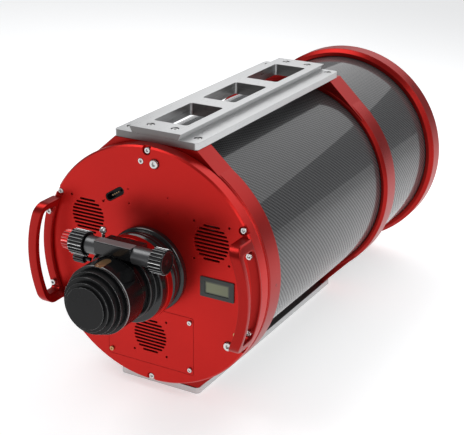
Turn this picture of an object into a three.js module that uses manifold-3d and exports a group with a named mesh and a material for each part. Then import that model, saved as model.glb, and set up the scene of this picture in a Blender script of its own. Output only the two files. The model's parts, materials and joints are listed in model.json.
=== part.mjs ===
// A 250 mm astrograph: a carbon tube between red anodised rings, with a rail above and
// below, fans and a focuser on its back plate, and two carrying handles.
// Millimetres, +Z up. The optical axis lies along +Y and the open front end faces +Y.
// Stations along the axis are measured from the rear face of the back plate, and the
// outer group moves the whole object so that its origin is the middle of its underside.

import * as THREE from 'three';
import { mergeVertices } from 'three/addons/utils/BufferGeometryUtils.js';
import Module from 'manifold-3d';

const wasm = await Module();
wasm.setup();

// ---------- driving dimensions ----------
const GAP = 0.3;                  // clearance between pieces that touch
const FINE = 48;                  // facets round the large rings
const MEDIUM = 24;                // facets round focuser-sized pieces
const SMALL = 8;                  // facets round screws

const RING_RADIUS = 163;          // outside of the back plate, rear ring and front ring
const TUBE_RADIUS = 151;          // outside of the carbon tube
const TUBE_WALL = 3.5;
const PLATE_THICKNESS = 18.5;     // back plate
const EDGE_BEVEL = 3;             // bevel on the outer edges of the rings

const REAR_RING = { from: 19, to: 54, radius: RING_RADIUS };
const MIDDLE_RING = { from: 401, to: 439, radius: 160.5 };
const FRONT_RING = { from: 586.5, to: 621.5, radius: RING_RADIUS };
const TUBE = { from: 20, to: 614.7 };

const TOP_PAD = 162;              // height of the flat on each ring that the top rail is bolted to
const BOTTOM_PAD = 168.2;         // depth of the flat that the bottom rail is bolted to
const RAIL = {
  from: 19,
  to: 428,
  halfWidth: 61.6,
  base: 9.1,                      // thickness of the base plate
  dovetail: 7.9,                  // height of the dovetail above the base plate
  dovetailTop: 38.1,              // half width of the dovetail: 76.2 mm is the 3-inch standard
  dovetailFoot: 34,
  corner: 6,
};
const WINDOW = { halfWidth: 25, length: 92, pitch: 122, first: 55, corner: 4 };

const CAP_FACE = -138.5;          // rearmost point, the face of the dust cap
const MIDDLE_STATION = (CAP_FACE + FRONT_RING.to) / 2;
const AXIS_HEIGHT = BOTTOM_PAD + RAIL.base;

const RIM_SCREW = { radius: 157.5, head: 3.9, height: 3.6, notch: 5.6, depth: 5 };
const RIM_ANGLES = [30, 90, 150, 210, 270, 330];

const COLLIMATION = { radius: 143, head: 5.8, lockHole: 2.2, lockOffset: 8 };
const COLLIMATION_ANGLES = [85.3, -34.7, 205.3];

const FAN = { size: 60, depth: 13.5, bore: 28, holes: 25, hub: 12.5, blades: 7 };
const FAN_PLACES = [{ orbit: 107, angle: 150 }, { orbit: 107, angle: 30 }, { orbit: 97, angle: 270 }];
const GRILLE = { radius: 24.8, web: 3.6, slot: 2.6, pitch: 4.9, count: 10 };

const PANEL = { halfWidth: 66, top: -56.4, bottom: -138, thickness: 3, corner: 3 };
const PANEL_SCREWS = [[-61, -63], [61, -63], [-61, -131], [61, -131]];

const DISPLAY = {
  x: 101.3,
  z: -6.4,
  width: 48.5,                    // bezel
  height: 27,
  proud: 1.6,
  deep: 9,
  bodyHalfWidth: 20.6,            // part behind the bezel
  bodyHalfHeight: 11.1,
  glassWidth: 34.5,
  glassHeight: 16.5,
};

const SOCKET = {
  x: -49.5,
  z: 91.5,
  length: 31,
  width: 10.5,
  slope: 32.5,
  deep: 13,
  wall: 1.4,
  recess: 8,                      // depth of the hollow for the plug
};

const HANDLE = {
  inner: 151.5,                   // radial range of the bar
  outer: 165,
  reach: 38,                      // how far the grip stands behind the back plate
  halfSpan: 71,
  halfOpening: 59.5,
  base: 5.2,                      // thickness of the strip screwed to the plate
  grip: 8.5,
  outerCorner: 15,
  innerCorner: 4,
};
const HANDLE_SCREW = { height: 51.5, radius: 158.3, head: 4.1 };

const FLANGE = { radius: 55.6, to: -27.2 };
const ROTATOR = { radius: 56.5, from: -31.5, to: -42 };
const BODY = { radius: 54, from: -42.4, shoulder: -53, neckRadius: 45.5, to: -64 };
const BODY_BLOCK = { halfWidth: 27, top: 55.5, from: -42.4, to: -56 };
const SLOT_CENTRES = [-21, -7, 7, 21];   // relief slots across the top of the body
const DRAWTUBE = { radius: 41, bore: 34, from: -6, to: -84 };
const ADAPTER = { radius: 44.4, from: -78, to: -112.4 };
const CAP_STEPS = [
  { radius: 40.5, to: -121 },
  { radius: 36.8, to: -129.5 },
  { radius: 31.5, to: -135 },
  { radius: 27, to: CAP_FACE },
];

const PINION = { y: -68, z: 49, gear: 5.2, shaft: 3, bearing: 11.5 };
const HOUSING = { from: -56.4, to: -77, top: 57.6, bottom: 43.9, left: -43, right: 53.4 };
const COARSE_KNOB = { radius: 16, leftFrom: -43.6, leftTo: -65.4, rightFrom: 54, rightTo: 72.5 };
const FINE_KNOB = { radius: 12, from: -66, to: -78 };
const KNURLS = 12;

const LOCK_SCREW = { x: -33, y: -50, foot: 34, top: 68 };
const TENSION = { y: -60, z: 24, from: -54.4, to: -70, radius: 6.8 };

const MIRROR = { radius: 127, from: 36, thickness: 26, hole: 41, sagitta: 5 };
const CELL = { radius: 139, from: 24.6, to: 35.6 };
const BAFFLE = { outer: 39, inner: 36.5, to: 262, foot: 46, footDepth: 6 };
const SECONDARY = { radius: 52, from: 468, thickness: 12 };
const SPIDER = { from: 490, to: 512, vane: 1.6, hub: 26 };
const CORRECTOR = { radius: 33.4, from: -30, thickness: 9 };

// ---------- materials ----------
const finish = (color, roughness, metalness) =>
  new THREE.MeshStandardMaterial({ color, roughness, metalness });
const redAnodised = finish(0xb0201a, 0.38, 0.85);
const machined = finish(0xc9cacb, 0.32, 0.9);
const carbon = finish(0x3a3b3d, 0.18, 0.1);
const blackAnodised = finish(0x141416, 0.35, 0.7);
const blackPlastic = finish(0x18191b, 0.5, 0.0);
const stainless = finish(0xd8d8d6, 0.22, 1.0);
const brass = finish(0xc59a63, 0.35, 0.9);
const mirrorCoat = finish(0xe6e9ec, 0.05, 1.0);
const glass = finish(0x9fb3a0, 0.1, 0.0);
const displayGlass = finish(0x737a5a, 0.25, 0.0);
const flatBlack = finish(0x0c0c0d, 0.85, 0.0);

// ---------- geometry to solid and back ----------
function solidOf(geometry) {
  const bare = geometry.clone();
  bare.deleteAttribute('normal');
  bare.deleteAttribute('uv');
  const merged = mergeVertices(bare, 1e-4);
  const make = (triVerts) => new wasm.Manifold(new wasm.Mesh({
    numProp: 3,
    vertProperties: new Float32Array(merged.attributes.position.array),
    triVerts,
  }));
  const triangles = new Uint32Array(merged.index.array);
  const solid = make(triangles);
  return solid.volume() > 0 ? solid : make(triangles.reverse());
}

function geometryOf(solid) {
  const mesh = solid.getMesh();
  const geometry = new THREE.BufferGeometry();
  geometry.setAttribute('position', new THREE.BufferAttribute(mesh.vertProperties, 3));
  geometry.setIndex(new THREE.BufferAttribute(mesh.triVerts, 1));
  geometry.computeVertexNormals();
  return geometry;
}

const telescope = new THREE.Group();
telescope.position.set(0, -MIDDLE_STATION, AXIS_HEIGHT);

function addPiece(name, solid, material) {
  const mesh = new THREE.Mesh(geometryOf(solid), material);
  mesh.name = name;
  telescope.add(mesh);
}

const joinAll = (solids) => solids.reduce((whole, next) => whole.add(next));
const cutAll = (solid, tools) => tools.reduce((left, tool) => left.subtract(tool), solid);

// ---------- basic shapes ----------
// A turned piece about the optical axis; the profile is a list of [radius, station].
function turned(profile, facets = MEDIUM) {
  const points = profile.map(([radius, station]) => new THREE.Vector2(radius, station));
  return solidOf(new THREE.LatheGeometry(points, facets));
}

// A ring about the optical axis with a bevel on each outer edge.
function ring(outer, inner, from, to, bevel = 0, facets = MEDIUM) {
  const [low, high] = [Math.min(from, to), Math.max(from, to)];
  const profile = [[inner, low], [outer - bevel, low]];
  if (bevel > 0) profile.push([outer, low + bevel], [outer, high - bevel]);
  profile.push([outer - bevel, high], [inner, high], [inner, low]);
  return turned(profile, facets);
}

// A disc or rod about the optical axis, moved to (x, z).
function disc(radius, from, to, x = 0, z = 0, facets = MEDIUM) {
  const geometry = new THREE.CylinderGeometry(radius, radius, Math.abs(to - from), facets);
  return solidOf(geometry.translate(x, (from + to) / 2, z));
}

function box(x0, x1, y0, y1, z0, z1) {
  const geometry = new THREE.BoxGeometry(Math.abs(x1 - x0), Math.abs(y1 - y0), Math.abs(z1 - z0));
  return solidOf(geometry.translate((x0 + x1) / 2, (y0 + y1) / 2, (z0 + z1) / 2));
}

// A rod along X at (y, z), and a rod along Z at (x, y).
function rodAlongX(radius, from, to, y, z, facets = MEDIUM) {
  const geometry = new THREE.CylinderGeometry(radius, radius, Math.abs(to - from), facets);
  return solidOf(geometry.rotateZ(Math.PI / 2).translate((from + to) / 2, y, z));
}
function rodAlongZ(radius, from, to, x, y, facets = SMALL) {
  const geometry = new THREE.CylinderGeometry(radius, radius, Math.abs(to - from), facets);
  return solidOf(geometry.rotateX(Math.PI / 2).translate(x, y, (from + to) / 2));
}

function roundedRectangle(x0, x1, y0, y1, corner) {
  const shape = new THREE.Shape();
  const quarter = Math.PI / 2;
  shape.moveTo(x0 + corner, y0);
  shape.lineTo(x1 - corner, y0);
  shape.absarc(x1 - corner, y0 + corner, corner, -quarter, 0);
  shape.lineTo(x1, y1 - corner);
  shape.absarc(x1 - corner, y1 - corner, corner, 0, quarter);
  shape.lineTo(x0 + corner, y1);
  shape.absarc(x0 + corner, y1 - corner, corner, quarter, 2 * quarter);
  shape.lineTo(x0, y0 + corner);
  shape.absarc(x0 + corner, y0 + corner, corner, 2 * quarter, 3 * quarter);
  return shape;
}

// A plate whose outline lies in X and Z, between two stations.
function plateAcross(shape, from, to, curveSegments = 1) {
  const depth = Math.abs(to - from);
  const geometry = new THREE.ExtrudeGeometry(shape, { depth, bevelEnabled: false, curveSegments });
  return solidOf(geometry.rotateX(Math.PI / 2).translate(0, Math.max(from, to), 0));
}

// A plate whose outline lies in X and Y, between two heights.
function plateLevel(shape, bottom, top, curveSegments = 2) {
  const depth = top - bottom;
  const geometry = new THREE.ExtrudeGeometry(shape, { depth, bevelEnabled: false, curveSegments });
  return solidOf(geometry.translate(0, 0, bottom));
}

const polar = (radius, degrees) => {
  const angle = THREE.MathUtils.degToRad(degrees);
  return [radius * Math.cos(angle), radius * Math.sin(angle)];
};

// ---------- tube and rings ----------
function padOutline(halfWidth, top, bottom, radius) {
  const shape = new THREE.Shape();
  const shoulder = radius * 0.72;
  const side = Math.sqrt(radius * radius - shoulder * shoulder);
  shape.moveTo(-halfWidth, -bottom);
  shape.lineTo(halfWidth, -bottom);
  shape.lineTo(shoulder, -side);
  shape.lineTo(shoulder, side);
  shape.lineTo(halfWidth, top);
  shape.lineTo(-halfWidth, top);
  shape.lineTo(-shoulder, side);
  shape.lineTo(-shoulder, -side);
  return shape;
}

// A clamp ring with a flat pad above and below for the rails.
function paddedRing({ from, to, radius }, inset) {
  const [top, bottom] = [TOP_PAD - GAP, BOTTOM_PAD - GAP];
  const round = ring(radius, TUBE_RADIUS - 5, from, to, EDGE_BEVEL, FINE);
  const outline = padOutline(RAIL.halfWidth - 1, top, bottom, radius - 1);
  const pads = plateAcross(outline, from + inset, to - inset);
  const bore = disc(TUBE_RADIUS + GAP, from - 1, to + 1, 0, 0, FINE);
  const slab = box(-RING_RADIUS - 1, RING_RADIUS + 1, from - 1, to + 1, -bottom, top);
  return round.add(pads).intersect(slab).subtract(bore);
}

const tubeShell = ring(TUBE_RADIUS, TUBE_RADIUS - TUBE_WALL, TUBE.from, TUBE.to, 0, FINE);
addPiece('carbon_tube', tubeShell, carbon);
addPiece('rear_cell_ring', paddedRing(REAR_RING, 0.5), redAnodised);
addPiece('middle_ring', paddedRing(MIDDLE_RING, 1), redAnodised);

const FRONT_LIP = { radius: 143, from: 615 };
addPiece('front_ring', turned([
  [TUBE_RADIUS + GAP, FRONT_RING.from],
  [RING_RADIUS - 5, FRONT_RING.from],
  [RING_RADIUS, FRONT_RING.from + 5],
  [RING_RADIUS, FRONT_RING.to - EDGE_BEVEL],
  [RING_RADIUS - EDGE_BEVEL, FRONT_RING.to],
  [FRONT_LIP.radius, FRONT_RING.to],
  [FRONT_LIP.radius, FRONT_LIP.from],
  [TUBE_RADIUS + GAP, FRONT_LIP.from],
  [TUBE_RADIUS + GAP, FRONT_RING.from],
], FINE), redAnodised);

// ---------- rails ----------
function windowCuts() {
  return [0, 1, 2].map((index) => {
    const start = WINDOW.first + index * WINDOW.pitch;
    const shape = roundedRectangle(
      -WINDOW.halfWidth, WINDOW.halfWidth, start, start + WINDOW.length, WINDOW.corner);
    return plateLevel(shape, TOP_PAD - 5, TOP_PAD + 30);
  });
}

function dovetailBar() {
  const foot = TOP_PAD + RAIL.base - 0.2;
  const top = TOP_PAD + RAIL.base + RAIL.dovetail;
  const shape = new THREE.Shape([
    new THREE.Vector2(-RAIL.dovetailFoot, foot),
    new THREE.Vector2(RAIL.dovetailFoot, foot),
    new THREE.Vector2(RAIL.dovetailTop, top - 1.6),
    new THREE.Vector2(RAIL.dovetailTop, top),
    new THREE.Vector2(-RAIL.dovetailTop, top),
    new THREE.Vector2(-RAIL.dovetailTop, top - 1.6),
  ]);
  return plateAcross(shape, RAIL.from, RAIL.to);
}

const railOutline = () => roundedRectangle(
  -RAIL.halfWidth, RAIL.halfWidth, RAIL.from, RAIL.to, RAIL.corner);
const railBase = plateLevel(railOutline(), TOP_PAD, TOP_PAD + RAIL.base);
addPiece('top_rail', cutAll(railBase.add(dovetailBar()), windowCuts()), machined);
addPiece('bottom_rail', plateLevel(railOutline(), -AXIS_HEIGHT, -BOTTOM_PAD), machined);

// ---------- back plate ----------
const fanCentres = FAN_PLACES.map(({ orbit, angle }) => polar(orbit, angle));

function grilleSlots(x, z) {
  const slots = [];
  for (let row = 0; row < GRILLE.count; row += 1) {
    const height = (row - (GRILLE.count - 1) / 2) * GRILLE.pitch;
    const half = Math.sqrt(GRILLE.radius ** 2 - height ** 2) - 0.5;
    const middle = z + height;
    slots.push(box(x - half, x + half, -2, 12, middle - GRILLE.slot / 2, middle + GRILLE.slot / 2));
  }
  return slots;
}

function fanPocket(x, z, from) {
  const half = FAN.size / 2 + 0.5;
  return box(x - half, x + half, from, PLATE_THICKNESS + 1, z - half, z + half);
}

function rimNotch(angle) {
  const [x, z] = polar(RIM_SCREW.radius, angle);
  const bowl = disc(RIM_SCREW.notch, -1, RIM_SCREW.depth, x, z, SMALL);
  const mouth = new THREE.BoxGeometry(10, RIM_SCREW.depth + 1, RIM_SCREW.notch * 2);
  mouth.translate(RIM_SCREW.radius + 5, (RIM_SCREW.depth - 1) / 2, 0);
  mouth.rotateY(-THREE.MathUtils.degToRad(angle));
  return bowl.add(solidOf(mouth));
}

const screwHole = (radius, x, z, depth) => disc(radius, -1, depth, x, z, SMALL);

function socketOutline(grow) {
  const half = SOCKET.length / 2 + grow;
  const rise = SOCKET.width / 2 + grow;
  return roundedRectangle(-half, half, -rise, rise, rise - 0.01);
}
function socketPlate(grow, from, to) {
  const depth = to - from;
  const geometry = new THREE.ExtrudeGeometry(socketOutline(grow), {
    depth, bevelEnabled: false, curveSegments: 2,
  });
  geometry.rotateX(Math.PI / 2).translate(0, to, 0);
  geometry.rotateY(-THREE.MathUtils.degToRad(SOCKET.slope));
  return solidOf(geometry.translate(SOCKET.x, 0, SOCKET.z));
}

// The rectangular part of the display that fills its opening in the plate.
function displayBody(grow, from, to) {
  const halfX = DISPLAY.bodyHalfWidth + grow;
  const halfZ = DISPLAY.bodyHalfHeight + grow;
  return box(DISPLAY.x - halfX, DISPLAY.x + halfX, from, to, DISPLAY.z - halfZ, DISPLAY.z + halfZ);
}

const handlePlaces = [[-1, 1], [-1, -1], [1, 1], [1, -1]].map(([side, up]) => [
  side * Math.sqrt(HANDLE_SCREW.radius ** 2 - HANDLE_SCREW.height ** 2),
  up * HANDLE_SCREW.height,
]);

function backPlate() {
  const lowerPocketX = PANEL.halfWidth + GAP;
  const cuts = [
    disc(46.5, -1, PLATE_THICKNESS + 1),
    plateAcross(roundedRectangle(
      -lowerPocketX, lowerPocketX, PANEL.bottom - GAP, PANEL.top + GAP, PANEL.corner),
      -1, PANEL.thickness + GAP),
    fanPocket(...fanCentres[2], 2),
    displayBody(GAP, -1, PLATE_THICKNESS + 1),
    socketPlate(GAP, -1, PLATE_THICKNESS + 1),
  ];
  fanCentres.slice(0, 2).forEach(([x, z]) => {
    cuts.push(fanPocket(x, z, GRILLE.web), ...grilleSlots(x, z));
  });
  RIM_ANGLES.forEach((angle) => {
    cuts.push(rimNotch(angle), screwHole(2, ...polar(RIM_SCREW.radius, angle), PLATE_THICKNESS + 1));
  });
  COLLIMATION_ANGLES.forEach((angle) => {
    const lockAngle = angle + COLLIMATION.lockOffset;
    cuts.push(screwHole(COLLIMATION.head + 0.9, ...polar(COLLIMATION.radius, angle), 1.2));
    cuts.push(screwHole(2.6, ...polar(COLLIMATION.radius, angle), PLATE_THICKNESS + 1));
    cuts.push(screwHole(COLLIMATION.lockHole, ...polar(COLLIMATION.radius, lockAngle), 9));
  });
  PANEL_SCREWS.forEach(([x, z]) => cuts.push(screwHole(1.5, x, z, 12)));
  handlePlaces.forEach(([x, z]) => cuts.push(screwHole(2.2, x, z, 12)));
  return cutAll(ring(RING_RADIUS, 40, 0, PLATE_THICKNESS, 2, FINE), cuts);
}
addPiece('back_plate', backPlate(), redAnodised);

function accessPanel() {
  const outline = roundedRectangle(
    -PANEL.halfWidth, PANEL.halfWidth, PANEL.bottom, PANEL.top, PANEL.corner);
  const holes = PANEL_SCREWS.map(([x, z]) => screwHole(1.6, x, z, 10));
  const [fanX, fanZ] = fanCentres[2];
  return cutAll(plateAcross(outline, 0, PANEL.thickness),
    [...holes, ...grilleSlots(fanX, fanZ)]);
}
addPiece('access_panel', accessPanel(), redAnodised);

// ---------- fans ----------
function fanFrame(x, z, from) {
  const half = FAN.size / 2;
  const outline = roundedRectangle(x - half, x + half, z - half, z + half, 4);
  const block = plateAcross(outline, from, from + FAN.depth);
  const holes = [-1, 1].flatMap((sx) => [-1, 1].map((sz) =>
    disc(2.1, from - 1, from + FAN.depth + 1, x + sx * FAN.holes, z + sz * FAN.holes, 6)));
  const frame = cutAll(block, [disc(FAN.bore, from - 1, from + FAN.depth + 1, x, z), ...holes]);
  const front = from + FAN.depth;
  const bar = (halfX, halfZ) => box(x - halfX, x + halfX, front - 2, front, z - halfZ, z + halfZ);
  const seat = disc(FAN.hub + 0.5, front - 2, front, x, z, SMALL);
  return joinAll([frame, bar(FAN.bore + 1, 1.5), bar(1.5, FAN.bore + 1), seat]);
}

function fanRotor(x, z, from) {
  const hub = disc(FAN.hub, from + 1.2, from + FAN.depth - 2.6, x, z, 14);
  const blades = [];
  for (let index = 0; index < FAN.blades; index += 1) {
    const blade = new THREE.BoxGeometry(16, 1.3, 12.5);
    blade.rotateX(THREE.MathUtils.degToRad(36)).translate(FAN.hub + 6, 0, 0);
    blade.rotateY(index * 2 * Math.PI / FAN.blades);
    blades.push(solidOf(blade.translate(x, from + FAN.depth / 2 - 0.8, z)));
  }
  const sweep = disc(FAN.bore - 1.5, from + 0.8, from + FAN.depth - 2.6, x, z, MEDIUM);
  return joinAll([hub, ...blades]).intersect(sweep);
}

const fanStations = [GRILLE.web + GAP, GRILLE.web + GAP, PANEL.thickness + 2 * GAP];
fanCentres.forEach(([x, z], index) => {
  addPiece(`fan_frame_${index + 1}`, fanFrame(x, z, fanStations[index]), blackPlastic);
  addPiece(`fan_rotor_${index + 1}`, fanRotor(x, z, fanStations[index]), blackPlastic);
});

// ---------- display and power socket ----------
function displayBezel() {
  const halfX = DISPLAY.width / 2;
  const halfZ = DISPLAY.height / 2;
  const face = plateAcross(roundedRectangle(
    DISPLAY.x - halfX, DISPLAY.x + halfX, DISPLAY.z - halfZ, DISPLAY.z + halfZ, 1),
    -DISPLAY.proud, -0.2);
  return face.add(displayBody(0, -0.4, DISPLAY.deep)).subtract(displayPane(0, -3, 3));
}

// The pane of the display, or the recess that holds it.
function displayPane(shrink, from, to) {
  const halfX = DISPLAY.glassWidth / 2 - shrink;
  const halfZ = DISPLAY.glassHeight / 2 - shrink;
  return box(DISPLAY.x - halfX, DISPLAY.x + halfX, from, to, DISPLAY.z - halfZ, DISPLAY.z + halfZ);
}
addPiece('display_bezel', displayBezel(), blackPlastic);
addPiece('display_window', displayPane(GAP, -0.6, 2.7), displayGlass);

const socketRecess = socketPlate(-SOCKET.wall, 0, SOCKET.recess);
addPiece('power_socket', socketPlate(0, 0.6, SOCKET.deep).subtract(socketRecess), blackPlastic);

// ---------- handles ----------
function handle(side) {
  const { reach, halfSpan, halfOpening, base, grip, outerCorner, innerCorner } = HANDLE;
  const near = -GAP;
  const rear = -reach;
  const outer = new THREE.Shape();
  outer.moveTo(-near, -halfSpan);
  outer.lineTo(-near, halfSpan);
  outer.lineTo(-rear - outerCorner, halfSpan);
  outer.absarc(-rear - outerCorner, halfSpan - outerCorner, outerCorner, Math.PI / 2, 0, true);
  outer.lineTo(-rear, -halfSpan + outerCorner);
  outer.absarc(-rear - outerCorner, -halfSpan + outerCorner, outerCorner, 0, -Math.PI / 2, true);
  outer.lineTo(-near, -halfSpan);
  outer.holes.push(roundedRectangle(base, reach - grip, -halfOpening, halfOpening, innerCorner));
  const depth = 60;
  const loop = new THREE.ExtrudeGeometry(outer, { depth, bevelEnabled: false, curveSegments: 2 });
  // outline axes: first towards -Y, second up; extruded across X
  loop.applyMatrix4(new THREE.Matrix4().set(
    0, 0, side, side > 0 ? 120 : -120,
    -1, 0, 0, 0,
    0, 1, 0, 0,
    0, 0, 0, 1));
  const band = ring(HANDLE.outer, HANDLE.inner, near, rear, 1.2, FINE);
  const holes = handlePlaces.map(([x, z]) => disc(2.3, -base - 1, 1, x, z, SMALL));
  return cutAll(solidOf(loop).intersect(band), holes);
}
addPiece('handle_left', handle(-1), redAnodised);
addPiece('handle_right', handle(1), redAnodised);

// ---------- fasteners ----------
// A socket-head screw driven along +Y, its head's rear face at the given station.
function socketScrew(x, z, face, head, height, shank, length) {
  const headDisc = disc(head, face, face + height, x, z, SMALL);
  const stem = disc(shank, face + height - 0.5, face + height + length, x, z, 6);
  const socket = disc(head * 0.48, face - 1, face + height * 0.55, x, z, 6);
  return headDisc.add(stem).subtract(socket);
}

RIM_ANGLES.forEach((angle, index) => {
  const [x, z] = polar(RIM_SCREW.radius, angle);
  const face = RIM_SCREW.depth - GAP - RIM_SCREW.height;
  addPiece(`rim_screw_${index + 1}`,
    socketScrew(x, z, face, RIM_SCREW.head, RIM_SCREW.height, 1.7, 10), stainless);
});

PANEL_SCREWS.forEach(([x, z], index) => {
  addPiece(`panel_screw_${index + 1}`, socketScrew(x, z, -2.3, 3.2, 2, 1.2, 10), stainless);
});

handlePlaces.forEach(([x, z], index) => {
  const face = -HANDLE.base - 3.8;
  addPiece(`handle_screw_${index + 1}`,
    socketScrew(x, z, face, HANDLE_SCREW.head, 3.5, 1.9, 14), stainless);
});

COLLIMATION_ANGLES.forEach((angle, index) => {
  const [x, z] = polar(COLLIMATION.radius, angle);
  addPiece(`collimation_screw_${index + 1}`,
    socketScrew(x, z, -3.2, COLLIMATION.head, 4, 2.2, 22), stainless);
});

// ---------- optics ----------
function mirrorCell() {
  const plate = ring(CELL.radius, 46.8, CELL.from, CELL.to, 1, MEDIUM);
  const vents = [0, 1, 2].map((index) => disc(22, CELL.from - 1, CELL.to + 1,
    ...polar(92, 25.3 + index * 120), 12));
  const taps = COLLIMATION_ANGLES.map((angle) => disc(2.6, CELL.from - 1, CELL.to + 1,
    ...polar(COLLIMATION.radius, angle), SMALL));
  const ears = COLLIMATION_ANGLES.map((angle) => disc(9, CELL.from, CELL.to,
    ...polar(COLLIMATION.radius - 6, angle), 12));
  return cutAll(joinAll([plate, ...ears]), [...vents, ...taps]);
}
addPiece('mirror_cell', mirrorCell().intersect(
  disc(TUBE_RADIUS - TUBE_WALL - GAP, CELL.from - 1, CELL.to + 1, 0, 0, FINE)), blackAnodised);

addPiece('primary_mirror', turned([
  [MIRROR.hole, MIRROR.from],
  [MIRROR.radius, MIRROR.from],
  [MIRROR.radius, MIRROR.from + MIRROR.thickness],
  [MIRROR.radius * 0.72, MIRROR.from + MIRROR.thickness - MIRROR.sagitta * 0.5],
  [MIRROR.hole, MIRROR.from + MIRROR.thickness - MIRROR.sagitta],
  [MIRROR.hole, MIRROR.from],
]), mirrorCoat);

const baffleTube = ring(BAFFLE.outer, BAFFLE.inner, CELL.from, BAFFLE.to);
const baffleFoot = ring(BAFFLE.foot, BAFFLE.inner, CELL.from, CELL.from + BAFFLE.footDepth);
addPiece('baffle_tube', baffleTube.add(baffleFoot), flatBlack);

addPiece('secondary_mirror', turned([
  [0, SECONDARY.from],
  [SECONDARY.radius * 0.6, SECONDARY.from + 0.9],
  [SECONDARY.radius, SECONDARY.from + 2.4],
  [SECONDARY.radius, SECONDARY.from + SECONDARY.thickness],
  [0, SECONDARY.from + SECONDARY.thickness],
]), mirrorCoat);
addPiece('secondary_holder', turned([
  [0, SECONDARY.from + SECONDARY.thickness + GAP],
  [SECONDARY.radius + 2, SECONDARY.from + SECONDARY.thickness + GAP],
  [SECONDARY.radius + 2, SPIDER.from - 4],
  [20, SPIDER.from - GAP],
  [0, SPIDER.from - GAP],
]), blackAnodised);

const spiderRing = { outer: TUBE_RADIUS - TUBE_WALL - GAP, wall: 3 };
spiderRing.inner = spiderRing.outer - spiderRing.wall;
addPiece('spider_ring',
  ring(spiderRing.outer, spiderRing.inner, SPIDER.from, SPIDER.to), blackAnodised);

function spider() {
  const hub = disc(SPIDER.hub, SPIDER.from, SPIDER.to, 0, 0, 32);
  const length = 2 * (spiderRing.inner - 0.5);
  const vanes = [0, 1].map((index) => {
    const vane = new THREE.BoxGeometry(length, SPIDER.to - SPIDER.from - 2, SPIDER.vane);
    vane.translate(0, (SPIDER.from + SPIDER.to) / 2, 0);
    return solidOf(vane.rotateY(Math.PI / 4 + index * Math.PI / 2));
  });
  return joinAll([hub, ...vanes]);
}
addPiece('spider', spider(), flatBlack);

addPiece('corrector_lens', turned([
  [0, CORRECTOR.from - 1.6],
  [CORRECTOR.radius * 0.6, CORRECTOR.from - 1],
  [CORRECTOR.radius, CORRECTOR.from],
  [CORRECTOR.radius, CORRECTOR.from + CORRECTOR.thickness],
  [0, CORRECTOR.from + CORRECTOR.thickness],
]), glass);

// ---------- focuser ----------
const bodyBore = DRAWTUBE.radius + GAP;

addPiece('focuser_flange', turned([
  [bodyBore + 3, 16],
  [46.2, 16],
  [46.2, -GAP],
  [FLANGE.radius, -GAP],
  [FLANGE.radius, -8],
  [FLANGE.radius - 2.4, -9.6],
  [FLANGE.radius - 2.4, -17],
  [FLANGE.radius - 0.6, -18.6],
  [FLANGE.radius - 0.6, -24],
  [FLANGE.radius - 2, FLANGE.to],
  [bodyBore + 3, FLANGE.to],
  [bodyBore + 3, 16],
]), blackAnodised);

const rotatorRing = ring(ROTATOR.radius, bodyBore + 3, ROTATOR.from, ROTATOR.to, 1.2);
const rotatorCollar = ring(BODY.neckRadius + 4, bodyBore + 3, FLANGE.to - GAP, ROTATOR.from - 0.1);
addPiece('focuser_rotator', rotatorRing.add(rotatorCollar), redAnodised);

function focuserBody() {
  const barrel = turned([
    [bodyBore, BODY.from],
    [BODY.radius, BODY.from],
    [BODY.radius, BODY.shoulder + 1.2],
    [BODY.radius - 1.2, BODY.shoulder],
    [BODY.neckRadius, BODY.shoulder - 0.8],
    [BODY.neckRadius, BODY.to + 1],
    [BODY.neckRadius - 1, BODY.to],
    [bodyBore, BODY.to],
    [bodyBore, BODY.from],
  ]);
  const { halfWidth, top, from, to } = BODY_BLOCK;
  const block = box(-halfWidth, halfWidth, from, to, 30, top);
  const bore = disc(bodyBore, 0, -90);
  const slots = SLOT_CENTRES.map((x) => box(x - 3, x + 3, -46.4, -44, top - 2.5, top + 1));
  const lockHole = rodAlongZ(2.4, LOCK_SCREW.foot - GAP, 60, LOCK_SCREW.x, LOCK_SCREW.y);
  const tensionHole = rodAlongX(3.2, -60, -44, TENSION.y, TENSION.z, SMALL);
  const rackSlot = box(-6.6, 6.6, 0, -90, 30, 43.9);
  return cutAll(barrel.add(block), [bore, rackSlot, ...slots, lockHole, tensionHole]);
}
addPiece('focuser_body', focuserBody(), blackAnodised);

function pinionHousing() {
  const { from, to, top, bottom, left, right } = HOUSING;
  const block = box(-BODY_BLOCK.halfWidth, BODY_BLOCK.halfWidth, from, to, bottom, top);
  const bearingInner = BODY_BLOCK.halfWidth - 1;
  const bearing = (start, end) => rodAlongX(PINION.bearing, start, end, PINION.y, PINION.z);
  const shaftHole = rodAlongX(PINION.shaft + GAP, left - 1, right + 1, PINION.y, PINION.z, SMALL);
  const gearRoom = rodAlongX(PINION.gear + 0.8, -9, 9, PINION.y, PINION.z, 14);
  const rackRoom = box(-9, 9, PINION.y - 4.6, PINION.y + 4.6, bottom - 6, PINION.z);
  const clearance = disc(BODY.neckRadius + 0.6, 0, -120);
  const rackPath = box(-7.2, 7.2, -50, -90, 30, 46.4);
  const solids = [block, bearing(left, -bearingInner), bearing(bearingInner, right)];
  return cutAll(joinAll(solids), [shaftHole, gearRoom, rackRoom, clearance, rackPath]);
}
addPiece('pinion_housing', pinionHousing(), blackAnodised);

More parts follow.
